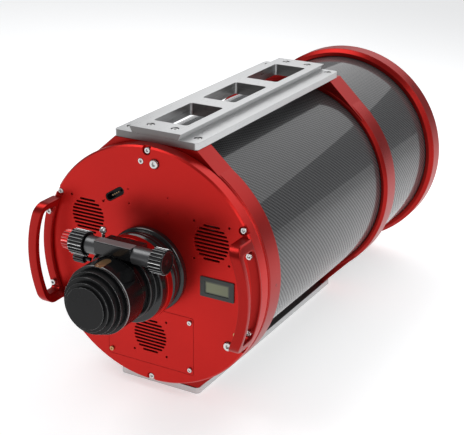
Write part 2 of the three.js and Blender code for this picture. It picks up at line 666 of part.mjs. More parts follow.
function pinionShaft() {
  const [left, right] = [FINE_KNOB.from + 1, COARSE_KNOB.rightTo - 4];
  const shaft = rodAlongX(PINION.shaft, left, right, PINION.y, PINION.z, SMALL);
  const teeth = 10;
  const gear = rodAlongX(PINION.gear, -8, 8, PINION.y, PINION.z, teeth * 2);
  const grooves = [];
  for (let index = 0; index < teeth; index += 1) {
    const angle = (index + 0.5) * 2 * Math.PI / teeth;
    grooves.push(rodAlongX(0.55, -9, 9, PINION.y + PINION.gear * Math.cos(angle),
      PINION.z + PINION.gear * Math.sin(angle), 4));
  }
  return shaft.add(cutAll(gear, grooves));
}
addPiece('pinion_shaft', pinionShaft(), stainless);

// A knurled knob on the pinion axis: a fluted grip with a plain bevelled face.
function knob(radius, from, to, flutes, bore) {
  const outward = Math.sign(to - from);
  const face = to - outward * 1.2;
  const grip = rodAlongX(radius, from, face, PINION.y, PINION.z, flutes * 2);
  const plain = rodAlongX(radius - 1.2, from + outward, to, PINION.y, PINION.z, 20);
  const grooves = [];
  for (let index = 0; index < flutes; index += 1) {
    const angle = index * 2 * Math.PI / flutes;
    grooves.push(rodAlongX(0.9, from - 1, face + 1, PINION.y + radius * Math.cos(angle),
      PINION.z + radius * Math.sin(angle), 4));
  }
  const hole = rodAlongX(bore, from - outward, to - outward * 3, PINION.y, PINION.z, SMALL);
  return cutAll(cutAll(grip, grooves).add(plain), [hole]);
}
const shaftBore = PINION.shaft + GAP;
const { radius: grip, leftFrom, leftTo, rightFrom, rightTo } = COARSE_KNOB;
const throughHole = rodAlongX(shaftBore, leftFrom + 2, leftTo - 2, PINION.y, PINION.z, SMALL);
const leftKnob = knob(grip, leftFrom, leftTo, KNURLS, shaftBore).subtract(throughHole);
const fineKnob = knob(FINE_KNOB.radius, FINE_KNOB.from, FINE_KNOB.to, KNURLS, shaftBore);
addPiece('coarse_knob_right', knob(grip, rightFrom, rightTo, KNURLS, shaftBore), blackAnodised);
addPiece('coarse_knob_left', leftKnob, blackAnodised);
addPiece('fine_knob', fineKnob, redAnodised);

const drawtube = ring(DRAWTUBE.radius, DRAWTUBE.bore, DRAWTUBE.from, DRAWTUBE.to);
const rackSeat = box(-6.4, 6.4, DRAWTUBE.from + 1, DRAWTUBE.to - 1, 40, 44);
addPiece('drawtube', drawtube.subtract(rackSeat), blackAnodised);

const RACK = { from: -16, to: -77, foot: 40.3, top: 43.2 };
function rack() {
  const bar = box(-5.8, 5.8, RACK.from, RACK.to, RACK.foot, RACK.top);
  const grooves = [];
  const toothPitch = 4;
  for (let y = RACK.from - 2; y > RACK.to + 1; y -= toothPitch) {
    grooves.push(box(-7, 7, y - 0.6, y + 0.6, RACK.top - 1.2, RACK.top + 1));
  }
  return cutAll(bar, grooves);
}
addPiece('drawtube_rack', rack(), stainless);

function adapter() {
  const { radius, from, to } = ADAPTER;
  const sleeve = turned([
    [DRAWTUBE.radius + GAP, from],
    [radius - 0.8, from],
    [radius, from - 0.8],
    [radius, to + 0.8],
    [radius - 0.8, to],
    [DRAWTUBE.bore, to],
    [DRAWTUBE.bore, DRAWTUBE.to - GAP],
    [DRAWTUBE.radius + GAP, DRAWTUBE.to - GAP],
    [DRAWTUBE.radius + GAP, from],
  ]);
  const recess = box(-6.6, 6.6, -84.6, -113, 41.8, 50);
  return sleeve.subtract(recess);
}
addPiece('eyepiece_adapter', adapter(), blackAnodised);

function clampStrip() {
  const band = ring(ADAPTER.radius + 0.3, 42.6, -84.9, -111.8, 0, FINE);
  const outline = roundedRectangle(-6.2, 6.2, -111.6, -85, 5.6);
  return band.intersect(plateLevel(outline, 30, 60));
}
addPiece('clamp_strip', clampStrip(), brass);

function dustCap() {
  const profile = [[0, ADAPTER.to - GAP]];
  let start = ADAPTER.to - GAP;
  CAP_STEPS.forEach(({ radius, to }) => {
    profile.push([radius, start], [radius, to]);
    start = to;
  });
  profile.push([0, CAP_FACE]);
  const stopper = disc(DRAWTUBE.bore - GAP, ADAPTER.to - 0.5, ADAPTER.to + 14, 0, 0, MEDIUM);
  return turned(profile).add(stopper);
}
addPiece('dust_cap', dustCap(), blackPlastic);

function lockScrew() {
  const { x, y, foot, top } = LOCK_SCREW;
  const stem = rodAlongZ(2, foot, top - 8, x, y);
  const collar = rodAlongZ(2.9, 50.4, 53, x, y);
  const ball = 4.4;
  const head = solidOf(new THREE.SphereGeometry(ball, 12, 6).translate(x, y, top - ball));
  return joinAll([stem, collar, head]);
}
addPiece('lock_thumbscrew', lockScrew(), stainless);

function tensionKnob() {
  const { y, z, from, to, radius } = TENSION;
  const stem = rodAlongX(2.6, -46.5, from - 1, y, z, SMALL);
  const grip = rodAlongX(radius, from, to, y, z, 16);
  const grooves = [];
  const flutes = 8;
  for (let index = 0; index < flutes; index += 1) {
    const angle = index * 2 * Math.PI / flutes;
    grooves.push(rodAlongX(0.6, from - 1.4, to - 1,
      y + radius * Math.cos(angle), z + radius * Math.sin(angle), 4));
  }
  return stem.add(cutAll(grip, grooves));
}
addPiece('tension_knob', tensionKnob(), blackAnodised);

export default telescope;
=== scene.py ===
# The looks of the astrograph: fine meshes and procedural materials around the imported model.
# Shapes are worked out in the tube's own millimetres: x across, y along the optical axis from
# the rear face of the back plate towards the open front, z up from the axis. Pieces are made
# in that frame and moved to the model's frame, in metres, as their mesh is finished.

import json
import math

import bmesh
import bpy
from mathutils import Matrix, Vector


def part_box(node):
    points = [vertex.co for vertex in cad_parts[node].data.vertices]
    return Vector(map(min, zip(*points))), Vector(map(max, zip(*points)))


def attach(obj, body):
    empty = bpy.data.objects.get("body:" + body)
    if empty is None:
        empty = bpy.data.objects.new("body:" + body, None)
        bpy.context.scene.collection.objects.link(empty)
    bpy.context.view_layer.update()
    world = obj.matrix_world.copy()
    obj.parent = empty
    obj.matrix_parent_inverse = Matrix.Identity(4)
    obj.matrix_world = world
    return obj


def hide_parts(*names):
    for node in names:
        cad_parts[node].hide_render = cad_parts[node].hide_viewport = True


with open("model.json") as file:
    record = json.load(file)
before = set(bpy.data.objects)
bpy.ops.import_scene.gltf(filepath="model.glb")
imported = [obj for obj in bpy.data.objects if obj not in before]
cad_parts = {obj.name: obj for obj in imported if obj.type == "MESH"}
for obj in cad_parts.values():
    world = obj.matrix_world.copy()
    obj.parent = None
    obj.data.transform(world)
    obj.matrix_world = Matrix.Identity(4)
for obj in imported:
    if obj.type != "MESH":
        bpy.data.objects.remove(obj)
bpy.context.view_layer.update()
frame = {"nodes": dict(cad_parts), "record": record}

MM = 0.001
plate_low, plate_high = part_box("back_plate")
FACE = plate_low.y
AXIS = (plate_low.z + plate_high.z) / 2

FINE = 224  # facets round the rings and the tube
MEDIUM = 96  # facets round the focuser
SMALL = 32  # facets round screws
SHARP = math.radians(32)  # edges that turn more than this stay crisp

NODE_BODY = {
    node: body for body, members in frame["record"]["behaviour"]["bodies"].items() for node in members
}
NODE_SLOT = {row["node"]: row["material_slot"] for row in frame["record"]["subparts"]}


# ---------- the frame's sizes, in the tube's millimetres ----------
def extent(node):
    """Lowest and highest corner of a CAD node as (x, y, z) in the tube's millimetres."""
    low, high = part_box(node)
    shift = Vector((0, FACE, AXIS))
    return (low - shift) / MM, (high - shift) / MM


def span(node):
    """First and last station of a CAD node along the optical axis."""
    low, high = extent(node)
    return low.y, high.y


def radius_of(node):
    low, high = extent(node)
    return (high.x - low.x) / 2


def centre_of(node):
    low, high = extent(node)
    return (low + high) / 2


# ---------- outlines ----------
def polar(radius, degrees, centre=(0, 0)):
    angle = math.radians(degrees)
    return centre[0] + radius * math.cos(angle), centre[1] + radius * math.sin(angle)


def circle(radius, centre=(0, 0), count=SMALL):
    return [polar(radius, 360 * step / count, centre) for step in range(count)]


def fluted(radius, depth, flutes, centre=(0, 0), per_flute=8):
    """A circle with rounded grooves, the section of a knurled grip."""
    points = []
    for step in range(flutes * per_flute):
        wave = 0.5 + 0.5 * math.cos(2 * math.pi * step / per_flute)
        points.append(polar(radius - depth * math.sqrt(wave), 360 * step / (flutes * per_flute), centre))
    return points


def rectangle(low_u, high_u, low_v, high_v, corner=0.5, steps=5):
    points = []
    for turn, (u, v) in enumerate(
        [
            (high_u - corner, low_v + corner),
            (high_u - corner, high_v - corner),
            (low_u + corner, high_v - corner),
            (low_u + corner, low_v + corner),
        ]
    ):
        start = 90 * (turn - 1)
        points += [polar(corner, start + 90 * step / steps, (u, v)) for step in range(steps + 1)]
    return points


def capsule(length, width, centre, degrees=0):
    """A slot with round ends, turned about its centre."""
    straight = (length - width) / 2
    ends = [polar(width / 2, -90 + 15 * step, (straight, 0)) for step in range(13)]
    ends += [polar(width / 2, 90 + 15 * step, (-straight, 0)) for step in range(13)]
    turn = Matrix.Rotation(math.radians(degrees), 2)
    return [tuple(turn @ Vector(point) + Vector(centre)) for point in ends]


def resampled(outline, longest):
    """The outline with extra points, so that no side is longer than this."""
    points = []
    for index, point in enumerate(outline):
        start, end = Vector(point), Vector(outline[(index + 1) % len(outline)])
        pieces = max(1, math.ceil((end - start).length / longest))
        points += [tuple(start.lerp(end, step / pieces)) for step in range(pieces)]
    return points


def softened(profile, radius, steps=3):
    """A closed profile with each corner away from the axis turned into a short curve."""
    points = []
    for index, corner in enumerate(profile):
        here = Vector(corner)
        before, after = Vector(profile[index - 1]), Vector(profile[(index + 1) % len(profile)])
        if corner[0] < 1e-6:
            points.append(corner)
            continue
        start = here + (before - here).normalized() * min(radius, (before - here).length * 0.45)
        end = here + (after - here).normalized() * min(radius, (after - here).length * 0.45)
        for step in range(steps + 1):
            t = step / steps
            points.append(tuple(start * (1 - t) ** 2 + here * 2 * t * (1 - t) + end * t * t))
    return points


# ---------- solids, as bmesh in the tube's millimetres ----------
def across(u, v, level):
    return u, level, v


def flat(u, v, level):
    return u, v, level


def sideways(u, v, level):
    return level, u, v


def facing_out(bm):
    """The same solid with every face turned outwards."""
    bm.normal_update()
    bmesh.ops.recalc_face_normals(bm, faces=bm.faces)
    return bm


def plate(outer, holes, low, high, bevel, place=across):
    """A prism between two levels with holes through it, all its edges rounded."""
    curve = bpy.data.curves.new("outline", "CURVE")
    curve.dimensions = "2D"
    curve.fill_mode = "BOTH"
    curve.extrude = (high - low) / 2 - bevel
    curve.bevel_depth = bevel
    curve.bevel_resolution = 1
    curve.offset = -bevel
    for outline in [outer, *holes]:
        spline = curve.splines.new("POLY")
        spline.points.add(len(outline) - 1)
        for point, (u, v) in zip(spline.points, outline):
            point.co = (u, v, 0, 1)
        spline.use_cyclic_u = True
    holder = bpy.data.objects.new("outline", curve)
    mesh = bpy.data.meshes.new_from_object(holder)
    bm = bmesh.new()
    bm.from_mesh(mesh)
    bpy.data.objects.remove(holder)
    bpy.data.curves.remove(curve)
    bpy.data.meshes.remove(mesh)
    bmesh.ops.remove_doubles(bm, verts=bm.verts, dist=1e-4)
    for vertex in bm.verts:
        u, v, level = vertex.co
        vertex.co = place(u, v, level + (low + high) / 2)
    return facing_out(bm)


def turned(profile, segments=MEDIUM, along="Y", centre=(0, 0)):
    """A closed profile of (radius, station) turned about an axis through the centre."""
    bm = bmesh.new()
    rows = []
    for radius, station in profile:
        count = 1 if radius < 1e-6 else segments
        row = []
        for step in range(count):
            u, v = polar(radius, 360 * step / segments)
            if along == "Y":
                place = (centre[0] + u, station, centre[1] + v)
            elif along == "X":
                place = (station, centre[0] + u, centre[1] + v)
            else:
                place = (centre[0] + u, centre[1] + v, station)
            row.append(bm.verts.new(place))
        rows.append(row)
    for index, row in enumerate(rows):
        after = rows[(index + 1) % len(rows)]
        if len(row) == 1 and len(after) == 1:
            continue
        for step in range(segments):
            ahead = (step + 1) % segments
            corners = [row[step % len(row)], row[ahead % len(row)]]
            corners += [after[ahead % len(after)], after[step % len(after)]]
            bm.faces.new(list(dict.fromkeys(corners)))
    return facing_out(bm)


def block(x, y, z, bevel=0.6):
    """A box between pairs of x, y and z, its edges rounded."""
    return plate(rectangle(*x, *z, corner=bevel, steps=3), [], *y, bevel)


def joined(*solids):
    """Several solids that touch or overlap, kept as shells of one piece."""
    whole = solids[0]
    for solid in solids[1:]:
        mesh = bpy.data.meshes.new("shell")
        solid.to_mesh(mesh)
        solid.free()
        whole.from_mesh(mesh)
        bpy.data.meshes.remove(mesh)
    return whole


def combined(base, tools, operation="DIFFERENCE"):
    """The base after a boolean with each tool in turn."""
    holders = []
    for solid in [base, *tools]:
        mesh = bpy.data.meshes.new("boolean")
        solid.to_mesh(mesh)
        solid.free()
        holder = bpy.data.objects.new("boolean", mesh)
        bpy.context.scene.collection.objects.link(holder)
        holders.append(holder)
    for tool in holders[1:]:
        modifier = holders[0].modifiers.new("boolean", "BOOLEAN")
        modifier.object = tool
        modifier.operation = operation
        modifier.solver = "MANIFOLD"
    graph = bpy.context.evaluated_depsgraph_get()
    mesh = bpy.data.meshes.new_from_object(holders[0].evaluated_get(graph))
    bm = bmesh.new()
    bm.from_mesh(mesh)
    bpy.data.meshes.remove(mesh)
    for holder in holders:
        data = holder.data
        bpy.data.objects.remove(holder)
        bpy.data.meshes.remove(data)
    return bm


def add(name, bm, material, body, nodes=()):
    """Turns a solid into a piece of the object: in place, smooth, and riding on its body."""
    for vertex in bm.verts:
        vertex.co = Vector((0, FACE, AXIS)) + vertex.co * MM
    mesh = bpy.data.meshes.new(name)
    bm.to_mesh(mesh)
    bm.free()
    mesh.polygons.foreach_set("use_smooth", [True] * len(mesh.polygons))
    mesh.set_sharp_from_angle(angle=SHARP)
    piece = bpy.data.objects.new(name, mesh)
    bpy.context.scene.collection.objects.link(piece)
    normals = piece.modifiers.new("flat_faces", "WEIGHTED_NORMAL")
    normals.keep_sharp = True
    mesh.materials.append(material)
    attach(piece, body)
    if nodes:
        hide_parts(*nodes)
    return piece


def refine(node, bm, material):
    """A fine piece that stands for one CAD node."""
    return add(f"{node}_fine", bm, material, NODE_BODY[node], [node])


# ---------- materials ----------
def scaled(colour, share):
    return tuple(channel * share for channel in colour)


class Nodes:
    """The node tree of a new material, with short calls for the nodes used here."""

    def __init__(self, name, colour, metallic, roughness, **sockets):
        self.material = bpy.data.materials.new(name)
        self.material.use_nodes = True
        self.tree = self.material.node_tree
        self.shader = self.tree.nodes["Principled BSDF"]
        self.shader.inputs["Base Color"].default_value = (*colour, 1)
        self.shader.inputs["Metallic"].default_value = metallic
        self.shader.inputs["Roughness"].default_value = roughness
        for socket, value in sockets.items():
            self.shader.inputs[socket.replace("_", " ")].default_value = value
        coordinates = self.tree.nodes.new("ShaderNodeTexCoord")
        self.place = coordinates.outputs["Object"]

    def add(self, kind, inputs=(), **settings):
        node = self.tree.nodes.new(kind)
        for setting, value in settings.items():
            setattr(node, setting, value)
        for key, value in dict(inputs).items():
            if isinstance(value, bpy.types.NodeSocket):
                self.tree.links.new(value, node.inputs[key])
            else:
                node.inputs[key].default_value = value
        return node

    def maths(self, operation, *values):
        return self.add("ShaderNodeMath", dict(enumerate(values)), operation=operation).outputs[0]

    def noise(self, scale, stretch=(1, 1, 1), detail=3.0):
        """Noise in the object's own frame, with the scale in cycles a metre."""
        mapping = self.add("ShaderNodeMapping", {"Vector": self.place, "Scale": stretch})
        inputs = {"Vector": mapping.outputs[0], "Scale": scale, "Detail": detail}
        return self.add("ShaderNodeTexNoise", inputs).outputs["Fac"]

    def between(self, factor, low, high, start=0.3, end=0.7):
        """A value that goes from low to high as the factor goes from start to end."""
        inputs = {"Value": factor, "From Min": start, "From Max": end, "To Min": low, "To Max": high}
        return self.add("ShaderNodeMapRange", inputs).outputs[0]

    def mix(self, factor, first, second):
        node = self.add("ShaderNodeMix", data_type="RGBA")
        for key, value in ((0, factor), (6, first), (7, second)):
            if isinstance(value, bpy.types.NodeSocket):
                self.tree.links.new(value, node.inputs[key])
            else:
                node.inputs[key].default_value = value if key == 0 else (*value, 1)
        return node.outputs[2]

    def bump(self, height, distance, strength=1.0):
        inputs = {"Height": height, "Distance": distance, "Strength": strength}
        self.set("Normal", self.add("ShaderNodeBump", inputs).outputs[0])

    def set(self, socket, value):
        self.tree.links.new(value, self.shader.inputs[socket])


def anodised(name, colour, roughness, metallic=0.85, grain=2600, blotch=9, **sockets):
    """Anodised aluminium: a fine blasted grain, and slight unevenness of dye and gloss."""
    nodes = Nodes(name, colour, metallic, roughness, **sockets)
    cloud = nodes.noise(blotch)
    pale = nodes.between(cloud, 0, 1)
    nodes.set("Base Color", nodes.mix(pale, scaled(colour, 0.93), scaled(colour, 1.07)))
    fine = nodes.noise(grain, detail=2.0)
    uneven = nodes.maths("ADD", nodes.between(fine, -0.03, 0.03), nodes.between(cloud, -0.03, 0.04))
    nodes.set("Roughness", nodes.maths("ADD", uneven, roughness))
    nodes.bump(fine, 0.00002, 0.35)
    return nodes.material


def knurled(name, dark, bright, radius, crest, centre):
    """Anodised metal of a fluted grip along X, with a painted highlight on the crests of its ridges."""
    nodes = Nodes(name, dark, 0.6, 0.3)
    split = nodes.add("ShaderNodeSeparateXYZ", {0: nodes.place})
    off_y = nodes.maths("SUBTRACT", split.outputs["Y"], FACE + centre[0] * MM)
    off_z = nodes.maths("SUBTRACT", split.outputs["Z"], AXIS + centre[1] * MM)
    square_y = nodes.maths("MULTIPLY", off_y, off_y)
    square_z = nodes.maths("MULTIPLY", off_z, off_z)
    distance = nodes.maths("SQRT", nodes.maths("ADD", square_y, square_z))
    # Painted highlight: the base colour turns bright towards the ridges' crests, where real ridges catch
    # the lamps; noise makes it patchy.
    painted_crest_highlight = nodes.between(distance, 0, 1, (radius - crest) * MM, (radius - 0.3 * crest) * MM)
    highlight_breakup = nodes.between(nodes.noise(700), 0.75, 1.0)
    nodes.set("Base Color", nodes.mix(nodes.maths("MULTIPLY", painted_crest_highlight, highlight_breakup), dark, bright))
    nodes.bump(nodes.noise(2600, detail=2.0), 0.00002, 0.3)
    return nodes.material


def milled(name, colour, roughness, stretch, scale=900, depth=0.00003, metallic=1.0):
    """Bare metal with the fine lines of a cutter or a brush along one direction."""
    nodes = Nodes(name, colour, metallic, roughness)
    lines = nodes.noise(scale, stretch, detail=4.0)
    nodes.set("Base Color", nodes.mix(nodes.between(lines, 0, 1), scaled(colour, 0.86), colour))
    nodes.set("Roughness", nodes.between(lines, roughness - 0.06, roughness + 0.1))
    nodes.bump(lines, depth, 0.5)
    return nodes.material


def carbon_weave():
    """Two-by-two twill of flat tows under a clear coat, wrapped round the tube, with painted sheen on
    the tows.
    """
    tow = 1.7  # width of a tow in millimetres
    # The light colour is painted sheen, standing in for the light that the fibres reflect.
    dark, light = (0.004, 0.004, 0.0045), (0.11, 0.111, 0.114)
    lacquer = {"Coat_Weight": 0.7, "Coat_Roughness": 0.02, "Coat_IOR": 1.42}
    nodes = Nodes("carbon_fibre", dark, 0.0, 0.4, Specular_IOR_Level=0.15, **lacquer)
    split = nodes.add("ShaderNodeSeparateXYZ", {0: nodes.place})
    height = nodes.maths("SUBTRACT", split.outputs["Z"], AXIS)
    angle = nodes.maths("ARCTAN2", height, split.outputs["X"])
    tows_round = 4 * round(math.pi * radius_of("carbon_tube") / (2 * tow))
    u = nodes.maths("MULTIPLY", angle, tows_round / (2 * math.pi))
    v = nodes.maths("DIVIDE", split.outputs["Y"], tow * MM)
    step = nodes.maths("ADD", nodes.maths("FLOOR", u), nodes.maths("FLOOR", v))
    phase = nodes.maths("FLOORED_MODULO", step, 4.0)
    over = nodes.maths("LESS_THAN", phase, 1.5)
    across_u = nodes.maths("ABSOLUTE", nodes.maths("SUBTRACT", nodes.maths("FRACT", u), 0.5))
    across_v = nodes.maths("ABSOLUTE", nodes.maths("SUBTRACT", nodes.maths("FRACT", v), 0.5))
    choice = nodes.add("ShaderNodeMix", {0: over, 2: across_v, 3: across_u}, data_type="FLOAT")
    bend = nodes.maths("POWER", choice.outputs[0], 2.0)
    crown = nodes.maths("SUBTRACT", 1.0, nodes.maths("MULTIPLY", bend, 4.0))
    # Painted sheen: over tows are lighter than under tows and lightest on their crowns; the twill
    # pattern itself is real.
    shade = nodes.maths("MULTIPLY", crown, nodes.between(over, 0.25, 1.0, 0, 1))
    fibres = nodes.noise(2400, detail=2.0)
    shade = nodes.maths("MULTIPLY", shade, nodes.between(fibres, 0.8, 1.15))
    nodes.set("Base Color", nodes.mix(shade, dark, light))
    nodes.set("Roughness", nodes.between(over, 0.5, 0.32, 0, 1))
    nodes.bump(shade, 0.00012, 0.6)
    return nodes.material


def moulded(name, colour, roughness, grain=3000, depth=0.00003, **sockets):
    """Plastic or paint with a fine skin texture."""
    nodes = Nodes(name, colour, 0.0, roughness, **sockets)
    skin = nodes.noise(grain, detail=2.0)
    wear = nodes.noise(30)
    pale = nodes.between(wear, 0, 1)
    nodes.set("Base Color", nodes.mix(pale, scaled(colour, 0.85), scaled(colour, 1.15)))
    nodes.set("Roughness", nodes.between(wear, roughness - 0.05, roughness + 0.06))
    nodes.bump(skin, depth, 0.4)
    return nodes.material


def mirror_glass():
    nodes = Nodes("mirror_coating", (0.9, 0.91, 0.93), 1.0, 0.02)
    haze = nodes.noise(25)
    nodes.set("Roughness", nodes.between(haze, 0.015, 0.04))
    return nodes.material


def coated_lens():
    nodes = Nodes("lens_glass", (0.3, 0.42, 0.34), 0.0, 0.04, Transmission_Weight=0.85, IOR=1.5)
    tint = nodes.noise(40)
    nodes.set("Base Color", nodes.mix(tint, (0.22, 0.38, 0.30), (0.36, 0.46, 0.40)))
    return nodes.material


def display_pane():
    """An unlit grey-green display: a faint darker border under a glossy face."""
    low, high = extent("display_window")
    olive, edge = (0.16, 0.175, 0.085), (0.07, 0.08, 0.045)
    nodes = Nodes("display_glass", olive, 0.0, 0.3, Coat_Weight=0.5, Coat_Roughness=0.08)
    split = nodes.add("ShaderNodeSeparateXYZ", {0: nodes.place})
    middle_x = (low.x + high.x) / 2 * MM
    middle_z = AXIS + (low.z + high.z) / 2 * MM
    off_x = nodes.maths("ABSOLUTE", nodes.maths("SUBTRACT", split.outputs["X"], middle_x))
    off_z = nodes.maths("ABSOLUTE", nodes.maths("SUBTRACT", split.outputs["Z"], middle_z))
    half_x, half_z = (high.x - low.x) / 2, (high.z - low.z) / 2
    near_x = nodes.between(off_x, 0, 1, (half_x - 2.2) * MM, (half_x - 1) * MM)
    near_z = nodes.between(off_z, 0, 1, (half_z - 2.2) * MM, (half_z - 1) * MM)
    nodes.set("Base Color", nodes.mix(nodes.maths("MAXIMUM", near_x, near_z), olive, edge))
    nodes.bump(nodes.noise(1500), 0.00001, 0.3)
    return nodes.material


BLACK = (0.008, 0.008, 0.0085)
DEEP_BLACK = (0.006, 0.006, 0.0064)
red = anodised("red_anodised", (0.53, 0.013, 0.010), 0.35, 0.8)
# A darker copy of the red anodising for the rings and the handles: painted shade on parts that are the
# same red as the back plate.
shaded_red = anodised("deep_red_anodised", (0.36, 0.010, 0.008), 0.32, 0.85)
black = anodised("black_anodised", BLACK, 0.16, 0.0, Specular_IOR_Level=0.5)
deep_black = anodised("deep_black_anodised", DEEP_BLACK, 0.13, 0.0, Specular_IOR_Level=0.28)
polished_black = anodised("polished_black_anodised", BLACK, 0.12, 0.0, IOR=2.1)
# A light grey for the rounded edges of black parts: painted highlights.
edge_highlight_black = anodised("edge_black_anodised", (0.26, 0.26, 0.26), 0.3, 0.6)
satin_grey = anodised("satin_grey_anodised", (0.3, 0.302, 0.305), 0.4, 0.55)
satin_black = anodised("satin_black_anodised", (0.13, 0.131, 0.133), 0.34, 0.75)
aluminium = milled("machined_aluminium", (0.62, 0.622, 0.624), 0.33, (1, 0.04, 1))
sawn = milled("sawn_aluminium", (0.25, 0.246, 0.242), 0.45, (1, 1, 0.05), 1400, 0.00006)
steel = milled("stainless_steel", (0.72, 0.72, 0.71), 0.2, (1, 1, 1), 1800)
brass = milled("brass", (0.66, 0.40, 0.20), 0.35, (1, 0.1, 1), 1500)
carbon = carbon_weave()
plastic = moulded("black_plastic", (0.008, 0.008, 0.0084), 0.3, Specular_IOR_Level=0.18)
bezel = moulded("display_bezel_plastic", (0.030, 0.036, 0.034), 0.45)
flat_black = moulded("flat_black", (0.008, 0.008, 0.008), 0.8, 1200, 0.0001)
mirror = mirror_glass()
lens = coated_lens()
pane = display_pane()
SLOT_MATERIAL = {
    "red_anodised": red,
    "black_anodised": black,
    "machined_aluminium": aluminium,
    "stainless_steel": steel,
    "brass": brass,
    "carbon_fibre": carbon,
    "black_plastic": plastic,
    "flat_black": flat_black,
    "mirror_coating": mirror,
    "lens_glass": lens,
    "display_glass": pane,
}


def dress_frame():
    """Gives every CAD node its slot's material, for those that stay in view."""
    for node, cad in frame["nodes"].items():
        cad.data.materials.clear()
        cad.data.materials.append(SLOT_MATERIAL[NODE_SLOT[node]])
        cad.data.polygons.foreach_set("use_smooth", [False] * len(cad.data.polygons))


# ---------- tube and rings ----------
RAIL_HALF = extent("bottom_rail")[1].x
RING = radius_of("back_plate")
TUBE = radius_of("carbon_tube")
GAP = 0.3  # clearance between parts that are fitted together
WALL = 3.5
LINING = 0.25
EASE = 0.8  # chamfer at the edges of the rings' bores
SHOULDER = 0.72  # where the flats of a padded ring meet its round, as a share of the radius
RING_GROOVE = {"from_bevel": 1, "slope": 0.6, "floor": 0.6}


def build_tube():
    start, end = span("carbon_tube")
    bore = TUBE - WALL
    shell = [(bore, start), (TUBE, start), (TUBE, end), (bore, end)]
    refine("carbon_tube", turned(softened(shell, 0.5), FINE), carbon)
    lining = [(bore - LINING, start), (bore, start), (bore, end), (bore - LINING, end)]
    add("tube_lining", turned(lining, FINE), flat_black, NODE_BODY["carbon_tube"])


def padded_ring(node, bevel, groove):
    """A clamp ring with flats above and below; the groove's depth may be 0 for none."""
    start, end = span(node)
    radius = radius_of(node)
    bore = TUBE + GAP
    profile = [(bore + EASE, start), (radius - bevel, start), (radius, start + bevel)]
    if groove > 0:
        mouth = start + bevel + RING_GROOVE["from_bevel"]
        floor = mouth + RING_GROOVE["slope"]
        floor_end = floor + RING_GROOVE["floor"]
        profile += [(radius, mouth), (radius - groove, floor), (radius - groove, floor_end)]
        profile.append((radius, floor_end + RING_GROOVE["slope"]))
    profile += [(radius, end - bevel), (radius - bevel, end)]
    profile += [(bore + EASE, end), (bore, end - EASE), (bore, start + EASE)]
    low, high = extent(node)
    half = RAIL_HALF - 1
    shoulder = (radius - 1) * SHOULDER
    side = math.sqrt((radius - 1) ** 2 - shoulder**2)
    corners = [(-half, low.z), (half, low.z), (shoulder, -side), (shoulder, side)]
    corners += [(half, high.z), (-half, high.z), (-shoulder, side), (-shoulder, -side)]
    inset = 0.8
    pads = plate(corners, [], start + inset, end - inset, 0.7)
    ring = combined(turned(softened(profile, 0.5), FINE), [pads], "UNION")
    wide = RING + 40
    slab = block((-wide, wide), (start - 1, end + 1), (low.z, high.z), 0.01)
    trimmed = combined(ring, [slab], "INTERSECT")
    hole = turned([(0, start - 1), (bore, start - 1), (bore, end + 1), (0, end + 1)], FINE)
    return combined(trimmed, [hole])


def build_rings():
    # The rings take the darker copy of the red: painted shade.
    refine("rear_cell_ring", padded_ring("rear_cell_ring", 2.0, 0.7), shaded_red)
    refine("middle_ring", padded_ring("middle_ring", 4.2, 0), shaded_red)
    start, end = span("front_ring")
    radius, bore, lip = radius_of("front_ring"), TUBE + GAP, 143
    profile = [
        (bore, start + EASE),
        (bore + EASE, start),
        (radius - 5.4, start),
        (radius, start + 4.6),
        (radius - 1.1, start + 5.2),
        (radius - 1.1, start + 6.6),
        (radius, start + 7.2),
        (radius, end - 3),
        (radius - 3, end),
        (lip, end),
        (lip, end - 6.5),
        (bore, end - 6.5),
    ]
    refine("front_ring", turned(softened(profile, 0.5), FINE), shaded_red)


# ---------- rails ----------
WINDOW = {"half": 25, "length": 92, "pitch": 122, "first": 55}
DOVETAIL = {"top": 38.1, "foot": 34}
SCREW_BORE = 5.3
SCREW_HEAD = 3.9
RAIL_CORNER = 6
TOP_SCREWS = [(-18, 38), (18, 38), (-17.5, 412), (17.5, 412)]
LEDGE_SCREWS = [(-50, 40.5), (50, 40.5), (-50, 415), (50, 415)]
BASE = 9.1  # thickness of the rails' base plates


def rail_window(index):
    start = WINDOW["first"] + index * WINDOW["pitch"]
    return rectangle(-WINDOW["half"], WINDOW["half"], start, start + WINDOW["length"], 4)


def counterbored_screw(name, x, y, top):
    """A socket-head screw sunk in a rail, its head just under the surface."""
    hexagon = circle(SCREW_HEAD * 0.5, (x, y), 6)
    head = plate(circle(SCREW_HEAD, (x, y)), [hexagon], top - 3.4, top - 0.9, 0.35, flat)
    floor = plate(circle(SCREW_HEAD - 0.2, (x, y)), [], top - 4.4, top - 3.2, 0.2, flat)
    add(name, joined(head, floor), steel, NODE_BODY["top_rail"])


def duller_ends(piece):
    """The sawn faces at the two ends of a rail are duller than its milled sides."""
    piece.data.materials.append(sawn)
    for face in piece.data.polygons:
        if abs(face.normal.y) > 0.9:
            face.material_index = 1


def dovetail_bar(low, high, foot, holes):
    """The raised bar of the top rail, its long sides leaning in towards the foot."""
    half = DOVETAIL["top"]
    bar = plate(rectangle(-half, half, low.y, high.y, 0.5), holes, foot, high.z, 0.4, flat)
    for vertex in bar.verts:
        if abs(vertex.co.x) > DOVETAIL["foot"]:
            drop = (high.z - vertex.co.z) / (high.z - foot)
            inward = (half - DOVETAIL["foot"]) * drop
            vertex.co.x -= math.copysign(inward, vertex.co.x)
    return bar


